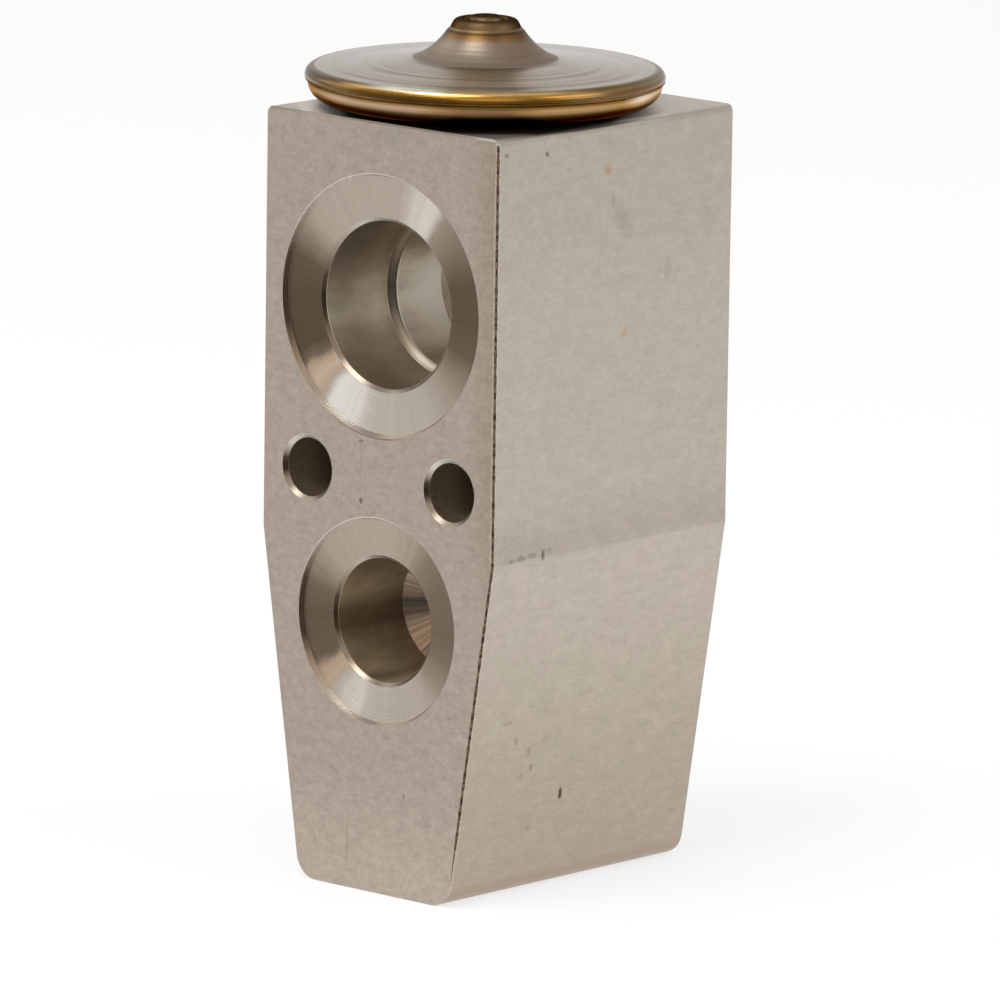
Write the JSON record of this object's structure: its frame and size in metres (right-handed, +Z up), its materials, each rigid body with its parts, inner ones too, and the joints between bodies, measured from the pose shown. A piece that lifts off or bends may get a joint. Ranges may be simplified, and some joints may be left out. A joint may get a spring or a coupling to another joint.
{
  "type": "block expansion valve",
  "caption": "Block-type thermostatic expansion valve: tapered aluminium block with turned ports front and back, bolt holes, and a disc-shaped power head with a crater on top.",
  "frame": {"origin": "on the centre line of the valve train, in the plane of the block's foot, at the mouth of the adjusting screw's bore", "axes": "+Z up along the valve train towards the power head, -Y out of the front face with the outlet port, +X to the right of that face"},
  "size_m": [0.0384, 0.0403, 0.0927],
  "materials": {
    "block_aluminium": "extruded and milled, satin",
    "cover_steel": "pressed stainless, fine turning marks, straw-coloured rim",
    "rim_steel": "pressed stainless, straw-coloured by the weld",
    "plug_steel": "darkened by the weld",
    "spring_steel": "bright",
    "rod_aluminium": "turned",
    "fitting_brass": "turned",
    "seal_rubber": "smooth",
    "washer_plastic": "moulded"
  },
  "bodies": {
    "block": {"valve_body": "block_aluminium", "upper_cover": "cover_steel", "charge_plug": "plug_steel", "diaphragm": "spring_steel", "lower_cover": "rim_steel", "head_o_ring": "seal_rubber", "rod_o_ring": "seal_rubber", "seal_washer": "washer_plastic", "retaining_ring": "spring_steel"},
    "valve_train": {"stopper": "spring_steel", "sensing_rod": "rod_aluminium", "push_pin": "spring_steel", "valve_ball": "spring_steel", "ball_holder": "fitting_brass", "damping_spring": "spring_steel"},
    "adjuster_slide": {"adjuster_o_ring": "seal_rubber", "bias_spring": "spring_steel"},
    "adjuster": {"adjusting_screw": "fitting_brass"}
  },
  "joints": [
    {"name": "valve_opening", "type": "slide", "parent": "block", "child": "valve_train", "axis": [0, 0, -1], "range_m": [0, 0.0008], "stiffness_N_per_m": 600, "springref_m": -0.0008, "deforming": ["bias_spring"]},
    {"name": "adjuster_feed", "type": "slide", "parent": "block", "child": "adjuster_slide", "axis": [0, 0, 1], "range_m": [-0.0005, 0.0005], "deforming": ["bias_spring"]},
    {"name": "adjuster_turn", "type": "hinge", "parent": "adjuster_slide", "child": "adjuster", "pos_m": [0, 0, 0], "axis": [0, 0, 1], "range_deg": [-180, 180]}
  ],
  "couplings": [
    {"joint": "adjuster_turn", "follows": "adjuster_feed", "rad_per_m": 6283.2}
  ]
}
